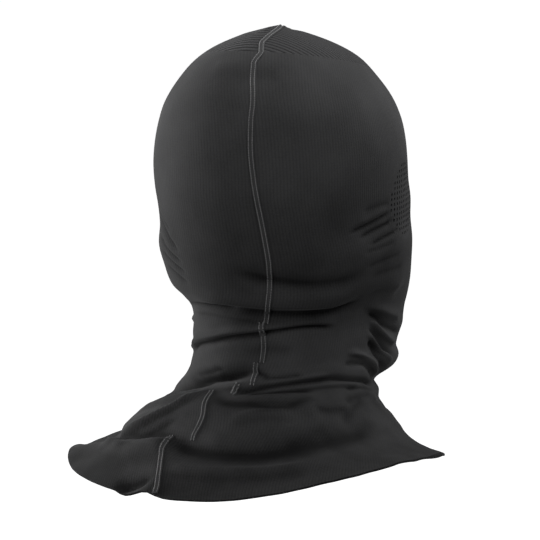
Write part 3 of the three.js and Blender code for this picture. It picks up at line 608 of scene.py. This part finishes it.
for side in (1, -1):
    y, z = ear_centre[side]

    def by_ear(face, grow=0.006):
        c = face.calc_center_median()
        across, up = (c.y - y) / (EAR_LENGTH / 2 + grow), (c.z - z) / (EAR_HEIGHT / 2 + grow)
        return c.x * side > 0 and across**2 + up**2 < 1

    planes = list(ear_planes(side))
    for at, out in planes:
        region = [f for f in bm.faces if by_ear(f)]
        edges = list({e for f in region for e in f.edges})
        points = list({v for f in region for v in f.verts})
        bmesh.ops.bisect_plane(bm, geom=points + edges + region, plane_co=at, plane_no=out)
    inside = [
        f for f in bm.faces
        if by_ear(f) and all((f.calc_center_median() - at).dot(out) < 0 for at, out in planes)
    ]
    bmesh.ops.delete(bm, geom=inside, context="FACES")

rib_knit = knit("rib_knit", (0.006, 0.006, 0.0062), (0.044, 0.044, 0.045), 2.2, 1.7, 0.00009, 0.10, 0.9)
hood = finished(bm, "hood_cloth", rib_knit, ["hood"])
add_thickness(hood, CLOTH_THICKNESS, -1)

# The crown. The same cloth, knitted here with open cross ribs, so that heat gets out at the top of the
# head. It is one with the hood, and the change of stitch shows as a darker cap.
vent_knit = knit(
    "vent_knit", (0.003, 0.003, 0.0031), (0.036, 0.036, 0.037), 3.6, 1.9, 0.0008, 0.10, 0.9,
    uv="crown", turned=True, rib_groove_shade=0.5,
)
crown = finished(crown_bm, "crown_cloth", vent_knit, ["crown_panel"])
add_thickness(crown, CLOTH_THICKNESS, -1)

# The ear zones. An open mesh of small upright eyelets knitted over each ear, so that the wearer can hear.
# The right zone stands further forward, because the cloth has slipped round as it was pulled on. Each zone is
# a grid of small cells, with an eyelet one cell wide and three high in every fourth column and fifth row.
CELL_ACROSS, CELL_UP = 0.0012, 0.0007
EYELET_ACROSS, EYELET_UP, EYELET_COLUMN, EYELET_ROWS = 4, 5, 2, (1, 2, 3)
EAR_RIM = 0.003
eyelet_mesh = knit(
    "eyelet_mesh", (0.006, 0.006, 0.0062), (0.042, 0.042, 0.043), 2.4, 1.85, 0.0001, 0.10, 0.9, uv="zone",
)
for side, name in ((1, "ear_eyelets_left"), (-1, "ear_eyelets_right")):
    y, z = ear_centre[side]
    bm = bmesh.new()
    uv_layer = bm.loops.layers.uv.new("zone")
    half_across, half_up = math.ceil(EAR_LENGTH / 2 / CELL_ACROSS), math.ceil(EAR_HEIGHT / 2 / CELL_UP)
    bmesh.ops.create_grid(bm, x_segments=2 * half_across, y_segments=2 * half_up, size=1)
    for v in bm.verts:
        v.co = (0, y + v.co.x * half_across * CELL_ACROSS, z + v.co.y * half_up * CELL_UP)
    holes = []
    for f in bm.faces:
        c = f.calc_center_median()
        across, up = math.floor((c.y - y) / CELL_ACROSS), math.floor((c.z - z) / CELL_UP)
        from_centre = np.hypot((c.y - y) / (EAR_LENGTH / 2 - EAR_RIM), (c.z - z) / (EAR_HEIGHT / 2 - EAR_RIM))
        if from_centre < 1 and across % EYELET_ACROSS == EYELET_COLUMN and up % EYELET_UP in EYELET_ROWS:
            holes.append(f)
    bmesh.ops.delete(bm, geom=holes, context="FACES")
    edge_verts = [v for v in bm.verts if v.is_boundary]
    for _ in range(2):
        bmesh.ops.smooth_vert(bm, verts=edge_verts, factor=0.5, use_axis_y=True, use_axis_z=True)
    for at, out in ear_planes(side):
        bmesh.ops.bisect_plane(
            bm, geom=bm.verts[:] + bm.edges[:] + bm.faces[:], plane_co=at, plane_no=out, clear_outer=True,
        )
    for f in bm.faces:
        for loop in f.loops:
            loop[uv_layer].uv = (loop.vert.co.y * 10, loop.vert.co.z * 10)
    for v in bm.verts:
        v.co = cloth_surface.ray_cast(Vector((side * 0.3, v.co.y, v.co.z)), Vector((-side, 0, 0)))[0]
    bm.normal_update()
    if sum(f.normal.x for f in bm.faces) * side < 0:
        bmesh.ops.reverse_faces(bm, faces=bm.faces)
    ear = finished(bm, name, eyelet_mesh, ["ear_mesh_left" if side > 0 else "ear_mesh_right"])
    add_thickness(ear, CLOTH_THICKNESS, -1)

# The edge of the eye opening. A doubled strip of a finer knit, folded over the raw edge and sewn down with
# two rows of stitches, so that it doesn't fray or roll.
BINDING_WIDTH, BINDING_PROUD = 0.008, 0.0008
binding_knit = knit(
    "binding", (0.006, 0.006, 0.0062), (0.040, 0.040, 0.041), 1.6, 1.3, 0.0001, 0.10, 0.88, uv="band",
)


def along_cloth(points, spacing):
    """Evenly spaced places along a line on the outside of the cloth: place, way along it and way out."""
    line = smooth_line(points, 24)
    run = np.concatenate([[0], np.cumsum(np.linalg.norm(np.diff(line, axis=0), axis=1))])
    count = max(2, round(run[-1] / spacing))
    line = np.stack([np.interp(np.linspace(0, run[-1], count + 1), run, line[:, k]) for k in range(3)], -1)
    found = [cloth_surface.find_nearest(Vector(p)) for p in line]
    places = [f[0] for f in found]
    ways = [(places[min(k + 1, count)] - places[max(k - 1, 0)]).normalized() for k in range(count + 1)]
    return [(place, way, f[1]) for place, way, f in zip(places, ways, found)]


def band(bm, stations, section, lift=lambda k, count: 0.0):
    """A strip on the cloth with a closed section: distances aside and out, in metres, at each station."""
    uv_layer = bm.loops.layers.uv.get("band") or bm.loops.layers.uv.new("band")
    made = bmesh.ops.create_grid(bm, x_segments=len(section), y_segments=len(stations) - 1, size=1)
    verts = made["verts"]
    place = {}
    for v in verts:
        j = round((v.co.x + 1) / 2 * len(section))
        k = round((v.co.y + 1) / 2 * (len(stations) - 1))
        centre, way, out = stations[k]
        aside, height = section[j % len(section)]
        spot, normal = cloth_surface.find_nearest(centre + out.cross(way).normalized() * aside)[:2]
        place[v] = (spot + normal * (height + lift(k, len(stations) - 1)), (j * 0.03, k * 0.03))
    for f in {f for v in verts for f in v.link_faces}:
        for loop in f.loops:
            loop[uv_layer].uv = place[loop.vert][1]
    for v in verts:
        v.co = place[v][0]
    bmesh.ops.remove_doubles(bm, verts=verts, dist=0.00001)


def stitch_row(bm, stations, aside, height, length, radius, every):
    """A row of short lying threads beside the line of the stations."""
    for k in range(every // 2, len(stations) - 1, every):
        centre, way, out = stations[k]
        spot, normal = cloth_surface.find_nearest(centre + out.cross(way).normalized() * aside)[:2]
        across = normal.cross(way).normalized()
        turn = Matrix((way.cross(across).normalized(), across, way)).transposed().to_4x4()
        size = Matrix.Diagonal((radius, radius, length / 2, 1))
        bmesh.ops.create_uvsphere(
            bm, u_segments=6, v_segments=5, radius=1,
            matrix=Matrix.Translation(spot + normal * height) @ turn @ size,
        )


def thread(name, colour, roughness):
    """Sewing thread: plied polyester with a little gloss."""
    material = bpy.data.materials.new(name)
    material.use_nodes = True
    nodes, links = material.node_tree.nodes, material.node_tree.links
    shader = nodes["Principled BSDF"]
    shader.inputs["Roughness"].default_value = roughness
    shader.inputs["Sheen Weight"].default_value = 0.2
    ply = nodes.new("ShaderNodeTexNoise")
    ply.inputs["Scale"].default_value = 1500
    links.new(nodes.new("ShaderNodeTexCoord").outputs["Object"], ply.inputs[0])
    ramp = nodes.new("ShaderNodeValToRGB")
    ramp.color_ramp.elements[0].color = (*[c * 0.6 for c in colour], 1)
    ramp.color_ramp.elements[1].color = (*[c * 1.4 for c in colour], 1)
    links.new(ply.outputs[0], ramp.inputs[0])
    links.new(ramp.outputs[0], shader.inputs["Base Color"])
    bump = nodes.new("ShaderNodeBump")
    bump.inputs["Distance"].default_value = 0.0001
    links.new(ply.outputs[0], bump.inputs["Height"])
    links.new(bump.outputs[0], shader.inputs["Normal"])
    return material


eye_line = []
for k in range(97):
    t = 2 * math.pi * k / 96 + math.pi / 2
    x, z = [math.copysign(abs(share) ** (2 / EYE_SQUARENESS), share) for share in (math.cos(t), math.sin(t))]
    x = (EYE_WIDTH + BINDING_WIDTH) / 2 * x
    z = -EYE_BELOW_CROWN + (EYE_HEIGHT + BINDING_WIDTH) / 2 * z
    eye_line.append(cloth_surface.ray_cast(Vector((x, -0.3, z)), Vector((0, 1, 0)))[0])
eye_stations = along_cloth(eye_line, 0.0013)
half, top, low = BINDING_WIDTH / 2, BINDING_PROUD, -CLOTH_THICKNESS - BINDING_PROUD
bm = bmesh.new()
band(bm, eye_stations, [
    (-half + 0.0007, top), (-0.0013, top + 0.0002), (0.0013, top + 0.0002), (half - 0.0007, top),
    (half, top - 0.0008), (half, low + 0.0008), (half - 0.0007, low), (-half + 0.0007, low),
    (-half, low + 0.0008), (-half, top - 0.0008),
])
bmesh.ops.remove_doubles(bm, verts=bm.verts, dist=0.0003)
bmesh.ops.recalc_face_normals(bm, faces=bm.faces)
eye_band = finished(bm, "eye_band", binding_knit, ["eye_binding"])
seam_thread = thread("seam_thread", (0.105, 0.105, 0.107), 0.55)
bm = bmesh.new()
for aside in (-0.0022, 0.0024):
    stitch_row(bm, eye_stations, aside, top + 0.00022, 0.0021, 0.00022, 2)
eye_stitches = finished(bm, "eye_band_stitches", seam_thread)

# The centre seam. The two halves meet edge to edge under a flat cover strip, 4 mm wide, sewn with two rows
# of a lighter thread. It runs from the eye opening over the crown and down the back to the edge of the
# cape, and is lost from sight wherever a fold crosses it.
SEAM_WIDTH, SEAM_RISE, SEAM_TUCK, STITCHES_ASIDE = 0.004, 0.0007, 0.0010, 0.0012


def behind(turn, height):
    """The place on the back of the cloth at a turn in degrees and a height in millimetres."""
    way = Vector((math.sin(math.radians(turn)), math.cos(math.radians(turn)), 0))
    return cloth_surface.ray_cast(Vector((0, 0, height / 1000)), way)[0]


def over(x, y):
    """The place on the crown above a spot in millimetres."""
    return cloth_surface.ray_cast(Vector((x / 1000, y / 1000, 0.05)), Vector((0, 0, -1)))[0]


def before(height):
    """The place on the middle of the face at a height in millimetres."""
    return cloth_surface.ray_cast(Vector((0, -0.3, height / 1000)), Vector((0, 1, 0)))[0]


# each run of the seam, and whether its first and last end go under a fold
SEAM_RUNS = [
    ([
        before(-88), before(-70), before(-50), before(-35),
        over(0, -60), over(0, -30), over(-2, 0), over(-6, 22),
    ] + [behind(*p) for p in (
        (-8.1, -4.5), (-6.6, -7), (-8.2, -11), (-8.4, -13), (-6.4, -17.5), (-6.6, -21), (-7.3, -28.3),
        (-8.4, -35.6), (-8.9, -43.5), (-8.7, -53), (-9, -72), (-10, -88), (-11, -100), (-13, -120),
        (-15, -142), (-15.3, -152), (-15, -162), (-14, -175), (-12.6, -184), (-12, -188.6),
    )], False, True),
    ([behind(*p) for p in (
        (-9.4, -187.6), (-9.6, -192), (-10.4, -200), (-10, -207), (-9, -215.6),
    )], True, True),
    ([behind(*p) for p in ((-5.6, -214.6), (-5, -219), (-4.8, -223), (-4, -229.4))], True, True),
    ([behind(*p) for p in ((4.4, -229), (8, -236.2))], True, True),
    ([behind(*p) for p in ((22, -235.6), (19, -241), (16, -247), (14, -254), (14, -262.4))], True, True),
    ([behind(*p) for p in (
        (25, -261.4), (24, -268), (22.6, -275), (20.6, -284), (19, -290), (18.4, -293.5),
    )], True, False),
]
bm, stitches_bm = bmesh.new(), bmesh.new()
half = SEAM_WIDTH / 2
for points, first_under, last_under in SEAM_RUNS:
    stations = along_cloth(points, 0.0008)

    def lift(k, count):
        """An end that goes under a fold is let into the cloth over two stations."""
        under = 1.0
        if first_under:
            under = min(under, k / 2)
        if last_under:
            under = min(under, (count - k) / 2)
        return -SEAM_TUCK * (1 - under)

    band(bm, stations, [
        (-half, 0.0001), (-half, 0.0004), (-half + 0.0005, SEAM_RISE), (0, SEAM_RISE - 0.00015),
        (half - 0.0005, SEAM_RISE), (half, 0.0004), (half, 0.0001), (0, 0.0),
    ], lift)
    for aside in (-STITCHES_ASIDE, STITCHES_ASIDE):
        stitch_row(stitches_bm, stations, aside, SEAM_RISE + 0.0001, 0.0017, 0.00032, 2)
bmesh.ops.holes_fill(bm, edges=[e for e in bm.edges if e.is_boundary])
bmesh.ops.recalc_face_normals(bm, faces=bm.faces)
cover_strip = knit(
    "cover_strip", (0.012, 0.012, 0.0125), (0.058, 0.058, 0.059), 1.3, 1.0, 0.0001, 0.10, 0.85, uv="band",
)
seam = finished(bm, "seam_strip", cover_strip, ["centre_seam"])
seam_stitches = finished(stitches_bm, "seam_stitches", seam_thread)

# The floor and the light: a pale studio floor far below, and soft light from above and from both sides.
FLOOR_HEIGHT = -0.95
floor_bm = bmesh.new()
bmesh.ops.create_grid(
    floor_bm, x_segments=4, y_segments=4, size=40, matrix=Matrix.Translation((0, 0, FLOOR_HEIGHT)),
)
floor_mesh = bpy.data.meshes.new("floor")
floor_bm.to_mesh(floor_mesh)
floor_bm.free()
floor = bpy.data.objects.new("floor", floor_mesh)
bpy.context.collection.objects.link(floor)
pale = bpy.data.materials.new("pale_floor")
pale.use_nodes = True
shader = pale.node_tree.nodes["Principled BSDF"]
shader.inputs["Base Color"].default_value = (0.9, 0.9, 0.9, 1)
shader.inputs["Roughness"].default_value = 0.9
shader.inputs["Emission Color"].default_value = (1, 1, 1, 1)
shader.inputs["Emission Strength"].default_value = 0.85
floor_mesh.materials.append(pale)
floor.visible_diffuse = floor.visible_glossy = False

world = bpy.data.worlds.new("studio")
bpy.context.scene.world = world
world.use_nodes = True
world.node_tree.nodes["Background"].inputs[0].default_value = (1, 1, 1, 1)
world.node_tree.nodes["Background"].inputs[1].default_value = 0.2
bpy.context.scene.view_settings.view_transform = "Standard"

# how far each light stands aside, back and up as the camera sees it, its size in metres and its power in
# watts
VIEW_TURN, VIEW_RISE, VIEW_DISTANCE, MIDDLE = math.radians(200), math.radians(8), 2.5, Vector((0, 0, -0.13))
view_right = Vector((math.cos(VIEW_TURN), math.sin(VIEW_TURN), 0))
view_back = Vector((math.sin(VIEW_TURN) * math.cos(VIEW_RISE), -math.cos(VIEW_TURN) * math.cos(VIEW_RISE),
                    math.sin(VIEW_RISE)))
for name, aside, back, up, size, power in (
    ("key_light", 1.2, 1.4, 1.1, 0.8, 18),
    ("high_light", -0.1, 1.2, 1.9, 0.8, 6),
    ("top_light", 0.1, -0.6, 2.05, 0.9, 24),
    ("left_light", -1.7, -0.75, 0.2, 0.8, 40),
    ("right_light", 1.3, -0.9, 1.4, 0.8, 17),
    ("low_light", -1.3, 0.8, -0.5, 0.8, 7),
):
    lamp = bpy.data.lights.new(name, "AREA")
    lamp.shape, lamp.size, lamp.energy = "SQUARE", size, power
    light = bpy.data.objects.new(name, lamp)
    bpy.context.collection.objects.link(light)
    light.location = view_right * aside + view_back * back + Vector((0, 0, up)) + MIDDLE
    light.rotation_euler = (light.location - MIDDLE).to_track_quat("Z", "Y").to_euler()

# The camera, a long lens from behind, a little from the wearer's right and above.
PICTURE_PIXELS, METRES_PER_PIXEL = 540, 0.000667
lens = bpy.data.cameras.new("camera")
lens.sensor_width, lens.clip_end = 36, 200
lens.lens = lens.sensor_width * VIEW_DISTANCE / (PICTURE_PIXELS * METRES_PER_PIXEL)
camera = bpy.data.objects.new("camera", lens)
bpy.context.collection.objects.link(camera)
aim = view_right * -0.00647 + Vector((0, 0, -0.1623))
camera.location = aim + view_back * VIEW_DISTANCE
camera.rotation_euler = view_back.to_track_quat("Z", "Y").to_euler()
bpy.context.scene.camera = camera
